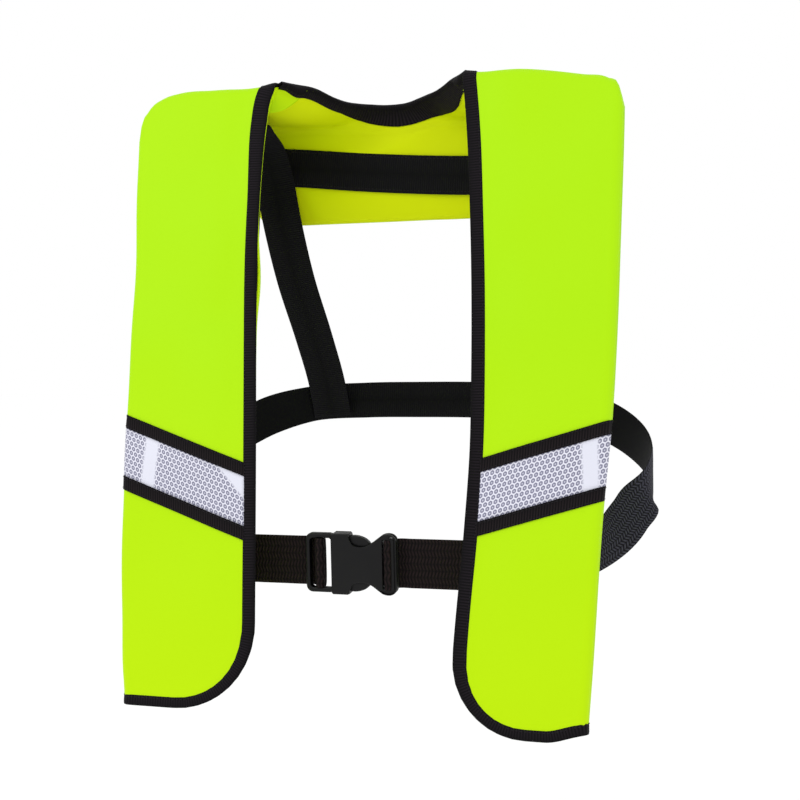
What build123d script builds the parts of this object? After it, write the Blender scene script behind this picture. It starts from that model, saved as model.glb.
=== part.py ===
from build123d import *
from math import atan, cos, degrees, radians, sin, tan
import os

# Inflatable life jacket, in millimetres.
# +Z is up, the front faces -Y and the wearer's left is +X.
# The origin is the middle of the neck opening, on the plane of symmetry.
# A lobe is laid out flat in its own leaning plane: x across, a upwards, depth towards the body.

os.makedirs("parts", exist_ok=True)

# ---- driving dimensions -------------------------------------------------------------------
FABRIC = 1.5            # cover and lining cloth
GAP = 0.3               # room left between soft layers
LEAN = 12.0             # degrees that a lobe leans forward towards its foot
LOBE_Y = -31.0          # front of a lobe at the height of the origin
POUCH = 30.0            # depth of a lobe, front of cover to back of lining

RIDGE_INNER_X = 87.0    # the fold over the shoulder, inner and outer end
RIDGE_INNER_A = 26.0
RIDGE_OUTER_X = 200.0
RIDGE_OUTER_A = 14.0
SHOULDER_X = 224.0      # point of the shoulder, below the fold's outer end
SHOULDER_A = -12.0
CHEST_A = -130.0        # where the edges turn below the shoulder
WAIST_A = -310.0        # where the inner edge starts to run out towards the foot
WAIST_X = 97.0          # inner edge along the chest
FOOT_INNER_X = 84.0     # where the inner edge would meet the foot without its round corner
FOOT_OUTER_X = 200.0
ARM_X = 222.0           # outer edge below the shoulder
FOOT_A = -541.0         # foot of a lobe, measured down its plane
FOOT_ROUND = 62.0       # round inner corner of the foot
HINGE_A = -100.0        # a cover opens below this line

BINDING = 12.0          # visible width of the black binding
BINDING_THICK = 0.8
TAPE = 41.0             # reflective tape, visible width
EDGING = 10.5           # black edging above and below the tape
TAPE_THICK = 0.5
TAPE_A = -336.0         # height of the tape at the middle of a lobe
TAPE_SLOPE = 19.5       # degrees, falling towards the centre

CLOSURE = 12.0          # hook and loop strips behind the inner edge
CLOSURE_THICK = 1.2

YOKE_BACK = 97.0        # back face of the yoke
YOKE_FOOT_Z = -95.0
YOKE_TOP_X = 172.0
YOKE_FOOT_X = 151.0
YOKE_ROUND = 20.0
YOKE_FRONT = -24.3      # the roof starts just behind the lobes' covers
BLADDER = 14.2          # folded collar inside the yoke

WEBBING = 42.0          # belt and harness webbing
STRAP = 2.0             # webbing thickness
BELT_FRONT_Y = -75.0
BELT_BACK_Y = 157.0
BELT_FRONT_Z = -409.0
BELT_BACK_Z = -283.0
BELT_STRAIGHT_X = 127.0  # the belt runs straight across front and back between these
BACK_STRAP_X = 106.0
SHOULDER_STRAP_X = 134.0

BUCKLE_X = -27.5        # mouth of the housing
BUCKLE_Y = -81.0
HOUSING = 59.0
HOUSING_TALL = 54.0
HOUSING_THICK = 15.0
FRAME = 24.0            # plug frame outside the mouth
FRAME_THICK = 8.0
ARM = 33.0              # latch arm from its root to its tip
ARM_DEEP = 8.0
RUNNING = 0.05

PORT_X = -172.0         # axis of the gas cylinder and of the inflator
CYLINDER_R = 12.5
CYLINDER_LONG = 112.0
NECK_R = 6.3
NECK_LONG = 13.0
INFLATOR_WIDE = 42.0
INFLATOR_TALL = 38.0
INFLATOR_DEEP = 20.0
INFLATOR_TOP_A = -450.0
MID_DEPTH = 15.5        # depth of the gas fittings inside a lobe

TUBE_X = 188.0          # oral inflation tube
TUBE_R = 6.5
TUBE_BORE_R = 4.5
HEAD_R = 9.0
VALVE_R = 5.95
WHISTLE_X = 156.0

LOBE = Plane(
    origin=(0, LOBE_Y, 0),
    x_dir=(1, 0, 0),
    z_dir=(0, -cos(radians(LEAN)), sin(radians(LEAN))),
)
BELT_SLOPE = atan((BELT_BACK_Z - BELT_FRONT_Z) / (BELT_BACK_Y - BELT_FRONT_Y))


# ---- helpers ------------------------------------------------------------------------------
def on_lobe(face, depth_near, depth_far):
    """A layer of a lobe, from depth_near to depth_far behind the front of its cover."""
    return LOBE * Pos(0, 0, -depth_far) * extrude(face, depth_far - depth_near)


def block(x, y, z):
    """A box between two x, two y and two z values."""
    centre = Pos((x[0] + x[1]) / 2, (y[0] + y[1]) / 2, (z[0] + z[1]) / 2)
    return centre * Box(x[1] - x[0], y[1] - y[0], z[1] - z[0])


def lobe_block(x, a, depth):
    """A box inside a lobe, between two x, two a and two depth values."""
    return LOBE * block(x, a, (-depth[1], -depth[0]))


def other_side(part):
    return mirror(part, about=Plane.YZ)


def save(part, node):
    export_step(part, f"parts/{node}.step")


def save_pair(part, node):
    """The wearer's left piece and its mirror image."""
    save(part, f"{node}_left")
    save(other_side(part), f"{node}_right")


# ---- lobe outline -------------------------------------------------------------------------
def lobe_outline(inner=0.0, outer=0.0, top_drop=0.0, foot=0.0):
    """The left lobe laid flat, drawn in by the given amounts at each edge."""
    ridge_a = RIDGE_INNER_A - top_drop
    ridge_x = WAIST_X + (RIDGE_INNER_X - WAIST_X) * (ridge_a - CHEST_A) / (RIDGE_INNER_A - CHEST_A)
    points = [
        (ridge_x + inner, ridge_a),
        (WAIST_X + inner, CHEST_A),
        (WAIST_X + inner, WAIST_A),
        (FOOT_INNER_X + inner, FOOT_A + foot),
        (FOOT_OUTER_X - outer, FOOT_A + foot),
        (ARM_X - outer, CHEST_A),
        (SHOULDER_X - outer, SHOULDER_A - top_drop),
        (RIDGE_OUTER_X - outer, RIDGE_OUTER_A - top_drop),
    ]
    face = make_face(Polyline(*points, close=True))
    corner = face.vertices().sort_by_distance(points[3])[0]
    return fillet(corner, FOOT_ROUND - max(inner, foot))


def strip(face, top=100.0, bottom=-600.0):
    """The part of a lobe face between two heights."""
    middle = (top + bottom) / 2
    return face & (Pos(160, middle) * Rectangle(300, top - bottom))


def inner_edge_band(width, offset=0.0):
    """A band of the given width along the inner edge and the foot."""
    reach = 40.0
    whole = lobe_outline(inner=offset, foot=offset)
    core = lobe_outline(inner=offset + width, outer=-reach, top_drop=-reach, foot=offset + width)
    return whole - core


SPLIT = HINGE_A - GAP
INSET = 4.0             # room between the bladder and the edges of a lobe
YOKE_ROOM = 26.0        # a lobe's inner layers stop this far below the fold
STRIP_NEAR = 3.2        # depth of the loop strip

upper_cover = on_lobe(strip(lobe_outline(), bottom=HINGE_A), 0, FABRIC)
lobe_cover = on_lobe(strip(lobe_outline(), top=SPLIT), 0, FABRIC)
save_pair(upper_cover, "upper_cover")
save_pair(lobe_cover, "lobe_cover")

lining = on_lobe(lobe_outline(top_drop=YOKE_ROOM), POUCH - FABRIC, POUCH)
wall_face = inner_edge_band(FABRIC) & lobe_outline(top_drop=YOKE_ROOM)
lining_wall = on_lobe(wall_face, STRIP_NEAR + CLOSURE_THICK, POUCH - FABRIC)
save_pair(lining + lining_wall, "lobe_lining")

closure_band = strip(inner_edge_band(CLOSURE, FABRIC), top=SPLIT)
save_pair(on_lobe(closure_band, FABRIC, FABRIC + CLOSURE_THICK), "closure_hooks")
save_pair(on_lobe(closure_band, STRIP_NEAR, STRIP_NEAR + CLOSURE_THICK), "closure_loops")

binding_face = inner_edge_band(BINDING)
edge_binding = on_lobe(strip(binding_face, top=SPLIT), -BINDING_THICK, 0)
save_pair(edge_binding, "edge_binding")


# ---- reflective band across each lobe -----------------------------------------------------
def sloping_band(low, high):
    """A band across the lobe between two distances from the tape's middle line."""
    middle_x = (WAIST_X + FOOT_OUTER_X + 10) / 2
    bar = Pos(0, (low + high) / 2) * Rectangle(300, high - low)
    return lobe_outline(inner=BINDING) & (Pos(middle_x, TAPE_A) * Rot(0, 0, TAPE_SLOPE) * bar)


half_tape = TAPE / 2
save_pair(on_lobe(sloping_band(-half_tape, half_tape), -TAPE_THICK, 0), "reflective_tape")
save_pair(on_lobe(sloping_band(half_tape, half_tape + EDGING), -BINDING_THICK, 0), "tape_edging_upper")
save_pair(on_lobe(sloping_band(-half_tape - EDGING, -half_tape), -BINDING_THICK, 0), "tape_edging_lower")


# ---- yoke and collar ----------------------------------------------------------------------
NECK_BACK_Y = 72.0
NECKLINE = [(90.0, -40.0), (83.0, -10.0), (66.0, 15.0), (50.0, 40.0), (22.0, 66.0)]
HALF_ROOF = [
    (60.0, 15.0),
    (RIDGE_INNER_X, RIDGE_INNER_A),
    (RIDGE_OUTER_X, RIDGE_OUTER_A),
    (SHOULDER_X, SHOULDER_A),
]
ROOF = [(-x, z) for x, z in reversed(HALF_ROOF)] + HALF_ROOF


def roof_slab(depth_near, depth_far, front, back):
    """The ridged top of the jacket as one slab, between two depths below its skin."""
    upper = [(x, z - depth_near) for x, z in ROOF]
    lower = [(x, z - depth_far) for x, z in reversed(ROOF)]
    face = Plane.XZ * make_face(Polyline(*upper, *lower, close=True))
    return Pos(0, back, 0) * extrude(face, back - front)


def neck_hole(spread=0.0):
    """A tall plug with the neckline's outline, widened by spread."""
    right = [(x + spread, y) for x, y in NECKLINE]
    tip = (0.0, NECK_BACK_Y + spread)
    left = [(-x, y) for x, y in reversed(right)]
    curve = Spline(*right, tip, *left)
    face = make_face([curve, Line(curve @ 1, curve @ 0)])
    return Pos(0, 0, -60) * extrude(face, 120)


def plan_block(inset=0.0):
    """The jacket's outline seen from above, as a tall block."""
    half = [
        (SHOULDER_X - inset, YOKE_FRONT),
        (SHOULDER_X - 12.0 - inset, YOKE_BACK / 2),
        (YOKE_TOP_X - inset, YOKE_BACK),
    ]
    points = half + [(-x, y) for x, y in reversed(half)]
    return Pos(0, 0, -200) * extrude(make_face(Polyline(*points, close=True)), 300)


def back_slab(depth_near, depth_far, inset=0.0):
    """The hanging back of the yoke, between two depths in front of its back face."""
    top = 40.0
    points = [
        (YOKE_TOP_X - inset, top),
        (YOKE_FOOT_X - inset, YOKE_FOOT_Z + inset),
        (-YOKE_FOOT_X + inset, YOKE_FOOT_Z + inset),
        (-YOKE_TOP_X + inset, top),
    ]
    face = make_face(Polyline(*points, close=True))
    face = fillet(face.vertices().sort_by(Axis.Y)[:2], YOKE_ROUND)
    slab = Pos(0, YOKE_BACK - depth_near, 0) * extrude(Plane.XZ * face, depth_far - depth_near)
    under_roof = [(x, z - depth_near) for x, z in ROOF] + [(SHOULDER_X, -200.0), (-SHOULDER_X, -200.0)]
    profile = Plane.XZ * make_face(Polyline(*under_roof, close=True))
    return slab & (Pos(0, YOKE_BACK, 0) * extrude(profile, 60))


def yoke_layer(depth_near, depth_far, inset=0.0):
    """One layer of the yoke: its roof and its hanging back in one piece."""
    roof = roof_slab(depth_near, depth_far, YOKE_FRONT, YOKE_BACK - depth_near)
    roof = (roof & plan_block(inset)) - neck_hole()
    return roof + back_slab(depth_near, depth_far, inset)


collar_depth = FABRIC + GAP
lining_depth = collar_depth + BLADDER + GAP
yoke_depth = lining_depth + FABRIC
save(yoke_layer(0, FABRIC), "yoke_cover")
save(yoke_layer(collar_depth, collar_depth + BLADDER), "bladder_collar")
save(yoke_layer(lining_depth, yoke_depth), "yoke_lining")

neck_ring = roof_slab(-0.5, yoke_depth + 0.5, YOKE_FRONT, YOKE_BACK) & (neck_hole() - neck_hole(-2.0))
shoulder_binding = on_lobe(strip(binding_face, bottom=HINGE_A), -BINDING_THICK, 0)
save(Compound([*neck_ring.solids(), *shoulder_binding.solids(), *other_side(shoulder_binding).solids()]),
     "neck_binding")


# ---- gas bladder in the lobes -------------------------------------------------------------
BLADDER_NEAR = 5.0
BLADDER_FAR = 28.0
RIGHT_POCKET_X = (136.0, 240.0)
RIGHT_POCKET_A = (FOOT_A - 10, -308.0)
LEFT_POCKET_X = (136.0, 240.0)
LEFT_POCKET_A = (-440.0, -290.0)


def bladder_lobe(pocket_x, pocket_a):
    """One folded lobe of the bladder, with room cut out beside its fittings."""
    face = lobe_outline(inner=INSET, outer=INSET, top_drop=YOKE_ROOM, foot=INSET)
    body = on_lobe(face, BLADDER_NEAR, BLADDER_FAR)
    return body - lobe_block(pocket_x, pocket_a, (0, POUCH))


save(bladder_lobe(LEFT_POCKET_X, LEFT_POCKET_A), "bladder_left")
save(other_side(bladder_lobe(RIGHT_POCKET_X, RIGHT_POCKET_A)), "bladder_right")


# ---- inflator in the right lobe -----------------------------------------------------------
def upright(profile, x, a, depth):
    """A turned piece whose axis runs up a lobe, from a profile of radius and height."""
    turned = revolve(Plane.XZ * make_face(Polyline(*profile, close=True)), Axis.Z)
    return LOBE * Pos(x, a, -depth) * Rot(-90, 0, 0) * turned


inflator_face = RectangleRounded(INFLATOR_WIDE, INFLATOR_TALL, 5)
inflator_a = INFLATOR_TOP_A - INFLATOR_TALL / 2
near = MID_DEPTH - INFLATOR_DEEP / 2
inflator = on_lobe(Pos(PORT_X, inflator_a) * inflator_face, near, near + INFLATOR_DEEP)
port = [(0, -NECK_LONG - 1), (NECK_R + RUNNING, -NECK_LONG - 1), (NECK_R + RUNNING, 1), (0, 1)]
save(inflator - upright(port, PORT_X, INFLATOR_TOP_A, MID_DEPTH), "inflator_body")

gasket_thick = 1.5
gasket = [(NECK_R + GAP, 0), (10.0, 0), (10.0, gasket_thick), (NECK_R + GAP, gasket_thick)]
save(upright(gasket, PORT_X, INFLATOR_TOP_A, MID_DEPTH), "cylinder_gasket")

shoulder_a = gasket_thick
cylinder = [
    (0, shoulder_a - NECK_LONG),
    (NECK_R, shoulder_a - NECK_LONG),
    (NECK_R, shoulder_a),
    (9.0, shoulder_a),
    (CYLINDER_R, shoulder_a + 12),
    (CYLINDER_R, CYLINDER_LONG - 6),
    (8.0, CYLINDER_LONG),
    (0, CYLINDER_LONG),
]
save(upright(cylinder, PORT_X, INFLATOR_TOP_A, MID_DEPTH), "co2_cylinder")

nut = on_lobe(Pos(PORT_X, inflator_a) * RegularPolygon(10, 6), near - 2.5, near)
save(nut, "inflator_nut")

# The lever lies under the inflator and swings down about a pin through the lobe's depth.
LEVER_LONG = 36.0
LEVER_WIDE = 8.0
lever_top = INFLATOR_TOP_A - INFLATOR_TALL - GAP
pivot_x = PORT_X - 15.0
pivot_a = lever_top - LEVER_WIDE / 2
lever_face = Pos(pivot_x + LEVER_LONG / 2, pivot_a) * SlotOverall(LEVER_LONG + LEVER_WIDE, LEVER_WIDE)
save(on_lobe(lever_face, MID_DEPTH - 4, MID_DEPTH + 4), "inflator_lever")

tab_x = pivot_x + LEVER_LONG - 1
tab_top = pivot_a - LEVER_WIDE / 2
save(lobe_block((tab_x - 8, tab_x + 4), (tab_top - 10, tab_top), (MID_DEPTH - 1, MID_DEPTH + 1)), "pull_tab")

clip_x = PORT_X + INFLATOR_WIDE / 2
clip = lobe_block((clip_x, clip_x + 2.5), (inflator_a - 12, inflator_a + 6), (MID_DEPTH - 3, MID_DEPTH + 3))
save(clip, "safety_clip")


# ---- oral tube and whistle in the left lobe -----------------------------------------------
TUBE_FOOT_A = LEFT_POCKET_A[0]
TUBE_LONG = 88.0
HEAD_LONG = 20.0
VALVE_LONG = 14.0
VALVE_PROUD = 2.0
VALVE_TRAVEL = 3.0
head_top = TUBE_LONG + HEAD_LONG
bore_floor = head_top + VALVE_PROUD - VALVE_LONG - VALVE_TRAVEL - 1
tube = [
    (TUBE_BORE_R, 0),
    (9.5, 0),
    (9.5, 3.0),
    (TUBE_R, 3.0),
    (TUBE_R, TUBE_LONG),
    (HEAD_R, TUBE_LONG),
    (HEAD_R, head_top),
    (VALVE_R + RUNNING, head_top),
    (VALVE_R + RUNNING, bore_floor),
    (TUBE_BORE_R, bore_floor),
]
save(upright(tube, TUBE_X, TUBE_FOOT_A, MID_DEPTH), "oral_tube")

valve_foot = head_top + VALVE_PROUD - VALVE_LONG
valve = [(0, valve_foot), (VALVE_R, valve_foot), (VALVE_R, head_top + VALVE_PROUD), (0, head_top + VALVE_PROUD)]
save(upright(valve, TUBE_X, TUBE_FOOT_A, MID_DEPTH), "oral_valve")

cap_foot = head_top - 10
cap_top = head_top + 6
cap = [
    (HEAD_R + RUNNING, cap_foot),
    (10.8, cap_foot),
    (10.8, cap_top),
    (0, cap_top),
    (0, cap_top - 1.8),
    (HEAD_R + RUNNING, cap_top - 1.8),
]
save(upright(cap, TUBE_X, TUBE_FOOT_A, MID_DEPTH), "oral_cap")

WHISTLE = (18.0, 46.0, 9.0)
whistle_a = -376.0
whistle_face = Pos(WHISTLE_X, whistle_a) * RectangleRounded(WHISTLE[0], WHISTLE[1], 3)
whistle_near = MID_DEPTH - WHISTLE[2] / 2
save(on_lobe(whistle_face, whistle_near, whistle_near + WHISTLE[2]), "whistle")

loop_wide = WHISTLE[0] + 2 * GAP
loop_deep = WHISTLE[2] + 2 * GAP
sleeve = Box(loop_wide + 2.4, 16, loop_deep + 2.4) - Box(loop_wide, 20, loop_deep)
save(LOBE * Pos(WHISTLE_X, whistle_a - 6, -MID_DEPTH) * sleeve, "whistle_loop")


# ---- belt ---------------------------------------------------------------------------------
def belt_height(y):
    return BELT_FRONT_Z + (y - BELT_FRONT_Y) * tan(BELT_SLOPE)


SIDE_BELT_Y = BELT_FRONT_Y + STRAP + 1.0
side_radius = (BELT_BACK_Y - SIDE_BELT_Y) / 2
side_centre_y = (BELT_BACK_Y + SIDE_BELT_Y) / 2
SIDE_BELT_END_X = 104.0

half_disc = Circle(side_radius + STRAP / 2) - Circle(side_radius - STRAP / 2)
half_disc = half_disc & (Pos(100, 0) * Rectangle(200, 400))
side_face = Pos(BELT_STRAIGHT_X, side_centre_y) * half_disc
side_face += Pos((BELT_STRAIGHT_X + SIDE_BELT_END_X) / 2, SIDE_BELT_Y) * Rectangle(
    BELT_STRAIGHT_X - SIDE_BELT_END_X, STRAP)
slab_y = (-140.0, 220.0)
low_edge = [(y, belt_height(y) - WEBBING / 2) for y in slab_y]
high_edge = [(y, belt_height(y) + WEBBING / 2) for y in reversed(slab_y)]
slab_points = low_edge + high_edge
belt_slab = extrude(Plane.YZ * make_face(Polyline(*slab_points, close=True)), 300, both=True)
belt_side = (Pos(0, 0, -600) * extrude(side_face, 700)) & belt_slab
save_pair(belt_side, "belt_side")

belt_back_x = BELT_STRAIGHT_X - GAP
save(block((-belt_back_x, belt_back_x), (BELT_BACK_Y - STRAP / 2, BELT_BACK_Y + STRAP / 2),
           (BELT_BACK_Z - WEBBING / 2, BELT_BACK_Z + WEBBING / 2)), "belt_back")

strap_z = (BELT_FRONT_Z - WEBBING / 2, BELT_FRONT_Z + WEBBING / 2)
strap_y = (BELT_FRONT_Y - STRAP / 2, BELT_FRONT_Y + STRAP / 2)
PLUG_BAR_X = BUCKLE_X - 12.0
HOUSING_BAR_X = BUCKLE_X + HOUSING - 8.0
STRAP_END_X = 152.0


def wrapped_bar(bar_x, direction, bar_half):
    """The webbing's turn round a buckle's bar: in front of it, and back down both sides."""
    front_y = BUCKLE_Y - FRAME_THICK / 2 - STRAP - GAP
    reach = bar_half + GAP + STRAP
    turn = block((bar_x - reach, bar_x + reach), (front_y, front_y + STRAP), strap_z)
    for side in (-1, 1):
        edge = bar_x + side * (bar_half + GAP + STRAP / 2)
        turn += block((edge - STRAP / 2, edge + STRAP / 2), (front_y, strap_y[1]), strap_z)
    far = bar_x + direction * reach
    end = direction * STRAP_END_X
    turn += block((min(far, end), max(far, end)), strap_y, strap_z)
    return turn


BAR_HALF = 2.2
save(wrapped_bar(PLUG_BAR_X, -1, BAR_HALF), "plug_strap")
save(wrapped_bar(HOUSING_BAR_X, 1, BAR_HALF), "housing_strap")

LOOP_X = 116.5
LOOP_WIDE = 20.0
loop_y = (BELT_FRONT_Y - STRAP / 2 - 3.0, SIDE_BELT_Y + STRAP / 2 + 3.0)
loop_z = (strap_z[0] - 4.0, strap_z[1] + 4.0)
loop_x = (LOOP_X - LOOP_WIDE / 2, LOOP_X + LOOP_WIDE / 2)
belt_loop = block(loop_x, loop_y, loop_z) - block(
    (0, 300), (loop_y[0] + FABRIC, loop_y[1] - FABRIC), (loop_z[0] + FABRIC, loop_z[1] - FABRIC))
save_pair(belt_loop, "belt_loop")


# ---- harness webbing ----------------------------------------------------------------------
def webbing_run(points, centre_x):
    """Webbing of full width along a side-view path of y and z."""
    ribbon = Plane.YZ * trace(Polyline(*points), STRAP)
    run = extrude(ribbon, WEBBING / 2, both=True)
    return Pos(centre_x, 0, 0) * run


lining_y = YOKE_BACK - yoke_depth
back_path = [(36.0, -14.0), (64.0, -40.0), (lining_y - 6.0, -100.0), (BELT_BACK_Y - STRAP - 0.5, BELT_BACK_Z)]
save_pair(webbing_run(back_path, BACK_STRAP_X), "back_strap")
shoulder_path = [(34.0, -10.0), (14.0, -3.0), (4.5, -12.0), (-66.0, -352.0)]
save_pair(webbing_run(shoulder_path, SHOULDER_STRAP_X), "shoulder_strap")

yoke_web_y = (lining_y - GAP - STRAP, lining_y - GAP)
save(block((-134, 134), yoke_web_y, (-45 - WEBBING / 2, -45 + WEBBING / 2)), "yoke_webbing")


# ---- side-release buckle ------------------------------------------------------------------
BUCKLE = Plane(origin=(BUCKLE_X, BUCKLE_Y, BELT_FRONT_Z), x_dir=(1, 0, 0), z_dir=(0, -1, 0))
CAVITY_LONG = 38.0
CAVITY_TALL = 46.0
WINDOW_X = (17.0, 36.0)

shell = extrude(Rectangle(HOUSING, HOUSING_TALL, align=(Align.MIN, Align.CENTER)), HOUSING_THICK / 2, both=True)
shell = fillet(shell.edges().filter_by(Axis.Z).sort_by(Axis.X)[-2:], 7)
cavity = Box(CAVITY_LONG + 1, CAVITY_TALL, ARM_DEEP + 1, align=(Align.MIN, Align.CENTER, Align.CENTER))
shell -= Pos(-1, 0, 0) * cavity
for side in (-1, 1):
    scoop = Pos((WINDOW_X[0] + WINDOW_X[1]) / 2, side * (HOUSING_TALL / 2 + 8)) * Cylinder(15.5, 30)
    shell -= scoop
bar_local = HOUSING_BAR_X - BUCKLE_X
slot_tall = WEBBING + 1.5
slot_wide = STRAP + 2.4
for side in (-1, 1):
    slot_x = bar_local + side * (BAR_HALF + slot_wide / 2)
    shell -= Pos(slot_x, 0) * Box(slot_wide, slot_tall, 40)
tail = HOUSING - CAVITY_LONG - 3
for side in (-1, 1):
    relief_z = side * (FRAME_THICK / 2 + 10)
    shell -= Pos(HOUSING, 0, relief_z) * Box(2 * tail, HOUSING_TALL + 2, 20)
save(BUCKLE * shell, "buckle_housing")

frame_face = RectangleRounded(FRAME, 52, 4)
frame_face = Pos(-FRAME / 2 - 0.3) * frame_face
plug = extrude(frame_face, FRAME_THICK / 2, both=True)
for side in (-1, 1):
    slot_x = (PLUG_BAR_X - BUCKLE_X) + side * (BAR_HALF + slot_wide / 2)
    plug -= Pos(slot_x, 0) * Box(slot_wide, slot_tall, 40)
plug += Pos(14, 0) * Box(29, 8, ARM_DEEP)
save(BUCKLE * plug, "buckle_plug")

ARM_TALL = 5.0
ARM_EDGE = CAVITY_TALL / 2 - 0.4
arm_points = [(0, ARM_EDGE - ARM_TALL), (ARM, ARM_EDGE - 9), (ARM, ARM_EDGE), (12, ARM_EDGE), (0, ARM_EDGE - 1.5)]
arm = extrude(make_face(Polyline(*arm_points, close=True)), ARM_DEEP / 2, both=True)
save(BUCKLE * arm, "latch_arm_upper")
save(BUCKLE * mirror(arm, about=Plane.XZ), "latch_arm_lower")
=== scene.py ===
from math import cos, pi, radians, sin

import bmesh
import bpy
import numpy as np
from mathutils import Matrix, Vector


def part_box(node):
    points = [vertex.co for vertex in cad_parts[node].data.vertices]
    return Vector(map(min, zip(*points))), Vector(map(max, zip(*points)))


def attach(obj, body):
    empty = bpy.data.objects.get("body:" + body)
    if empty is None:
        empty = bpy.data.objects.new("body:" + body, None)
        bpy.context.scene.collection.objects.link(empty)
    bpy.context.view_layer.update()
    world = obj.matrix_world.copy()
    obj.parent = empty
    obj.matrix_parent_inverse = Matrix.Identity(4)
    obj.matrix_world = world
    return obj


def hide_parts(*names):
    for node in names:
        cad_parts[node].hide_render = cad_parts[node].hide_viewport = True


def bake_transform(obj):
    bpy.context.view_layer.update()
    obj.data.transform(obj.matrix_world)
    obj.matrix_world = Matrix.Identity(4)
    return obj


# Inflatable life jacket: cloth, webbing, buckle and studio over the CAD frame.
# Shapes are worked out in millimetres; make_object() turns them into metres.

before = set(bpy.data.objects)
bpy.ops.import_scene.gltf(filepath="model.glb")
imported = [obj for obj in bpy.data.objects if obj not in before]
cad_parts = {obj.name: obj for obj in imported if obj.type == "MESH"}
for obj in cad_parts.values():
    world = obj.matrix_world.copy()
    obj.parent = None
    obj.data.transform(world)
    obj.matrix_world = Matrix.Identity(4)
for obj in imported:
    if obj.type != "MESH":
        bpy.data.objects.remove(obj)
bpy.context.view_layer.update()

MM = 0.001
LEAN = radians(12)        # a lobe leans forward towards its foot
LOBE_Y = -31              # front of a lobe at the height of the neck
CLOTH = 1.2
BINDING = 12
SEAM_Y = 8                # shoulder seam between a lobe's cover and the yoke
FOLD = 10                 # radius of the fold over the shoulder
SEAM_THICK = 2.7          # the yoke's cloth and the collar's edge together at its rim
POCKET_DEPTH = 31.5       # how far a lobe's lining stands behind its flat front
BLADDER_DEPTH = 16.5      # the middle of the folded bladder, behind the flat front
FORWARD = (0, -1, 0)

# Each lobe's outline: x across for a height a up the lobe, and the fold's height across.
LOBES = {
    "right": {
        "sign": -1,
        "foot": -539,
        "foot_round": 74,
        "foot_rise": 0,
        "inner": [(-541, 82), (-465, 85.4), (-312, 92.4), (-227, 96.6), (-123, 100.5), (-60, 100),
                  (-14, 97.5), (12, 94), (30, 86)],
        "outer": [(-541, 206), (-433, 215.6), (-348, 219.5), (-282, 221), (-138, 222.5), (-30, 227),
                  (30, 228)],
        "ridge": [(85, 27.5), (99, 24.5), (150, 22.5), (185, 22), (202, 18), (216, 8), (224, -8), (228, -34)],
        "tape": [(101.5, -325), (221, -281.5), (98.5, -393), (218, -350)],
    },
    "left": {
        "sign": 1,
        "foot": -545,
        "foot_round": 62,
        "foot_rise": 7.5,
        "inner": [(-545, 87), (-475, 90), (-375, 97), (-315, 100), (-253, 100), (-112, 96), (-15, 89.8),
                  (30, 85)],
        "outer": [(-545, 199), (-488, 202.5), (-351, 211), (-285, 217), (-204, 221), (-118, 223.6),
                  (-20, 226), (30, 226)],
        "ridge": [(84, 24), (99, 22), (143, 20), (190, 12), (212, 7), (221, 0), (226, -18)],
        "tape": [(109, -319), (217, -286), (106, -384), (212, -352)],
    },
}


# ---- shapes
def ease(t):
    """0 to 1 with a soft start and a soft end."""
    t = np.clip(t, 0, 1)
    return t * t * (3 - 2 * t)


def curve(knots, at):
    """A smooth line through a few (position, value) pairs, read at the given positions."""
    x, y = np.array(knots, float).T
    slope = np.gradient(y, x)
    i = np.clip(np.searchsorted(x, at) - 1, 0, len(x) - 2)
    h = x[i + 1] - x[i]
    t = np.clip((at - x[i]) / h, 0, 1)
    start = (2 * t**3 - 3 * t**2 + 1) * y[i] + (t**3 - 2 * t**2 + t) * h * slope[i]
    end = (3 * t**2 - 2 * t**3) * y[i + 1] + (t**3 - t**2) * h * slope[i + 1]
    return start + end


def distances(points):
    """How far along a line each of its points is."""
    steps = np.linalg.norm(np.diff(points, axis=0), axis=1)
    return np.concatenate([[0], np.cumsum(steps)])


def smooth_path(points, spacing=4):
    """A smooth line through a few points, cut into even steps."""
    points = np.array(points, float)
    reach = distances(points)
    at = np.linspace(0, reach[-1], max(3, int(reach[-1] / spacing) + 1))
    return np.stack([curve(np.stack([reach, points[:, k]], 1), at) for k in range(3)], 1)


def even_steps(points, *others, spacing=4):
    """The same line cut into even steps, with what goes along with it."""
    reach = distances(points)
    at = np.linspace(0, reach[-1], max(3, int(reach[-1] / spacing) + 1))

    def read(values):
        return np.stack([np.interp(at, reach, values[:, k]) for k in range(3)], 1)

    return [read(points)] + [unit(read(values)) for values in others]


def unit(vectors):
    """The same directions, each of length 1."""
    return vectors / np.maximum(np.linalg.norm(vectors, axis=-1, keepdims=True), 1e-9)


def combine(*parts):
    """Points, or places on a UV map, from their parts spread to the same rows and columns."""
    return np.stack(np.broadcast_arrays(*parts), -1)


def square_to(path, normal):
    """Normals turned square to a path, and the directions across it."""
    along = unit(np.gradient(path, axis=0))
    normal = unit(normal - along * (normal * along).sum(-1, keepdims=True))
    return normal, np.cross(along, normal)


def surface_normals(points, toward):
    """Unit normals of a surface given as rows of points, on the side that faces toward."""
    normal = unit(np.cross(np.gradient(points, axis=1), np.gradient(points, axis=0)))
    return normal * np.sign((normal * np.array(toward)).sum(-1).mean())


def lobe_point(x, a, depth):
    """A point of a lobe: x across, a up its leaning plane, depth behind its front."""
    y = LOBE_Y + a * sin(LEAN) + depth * cos(LEAN)
    z = a * cos(LEAN) - depth * sin(LEAN)
    return combine(np.asarray(x, float), y, z)


# ---- meshes
def add_object(name, data):
    """A new object in the scene."""
    made = bpy.data.objects.new(name, data)
    bpy.context.scene.collection.objects.link(made)
    return made


def plain_mesh(made):
    """The mesh that a curve or a modifier makes."""
    bpy.context.view_layer.update()
    return bpy.data.meshes.new_from_object(made.evaluated_get(bpy.context.evaluated_depsgraph_get()))


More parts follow.
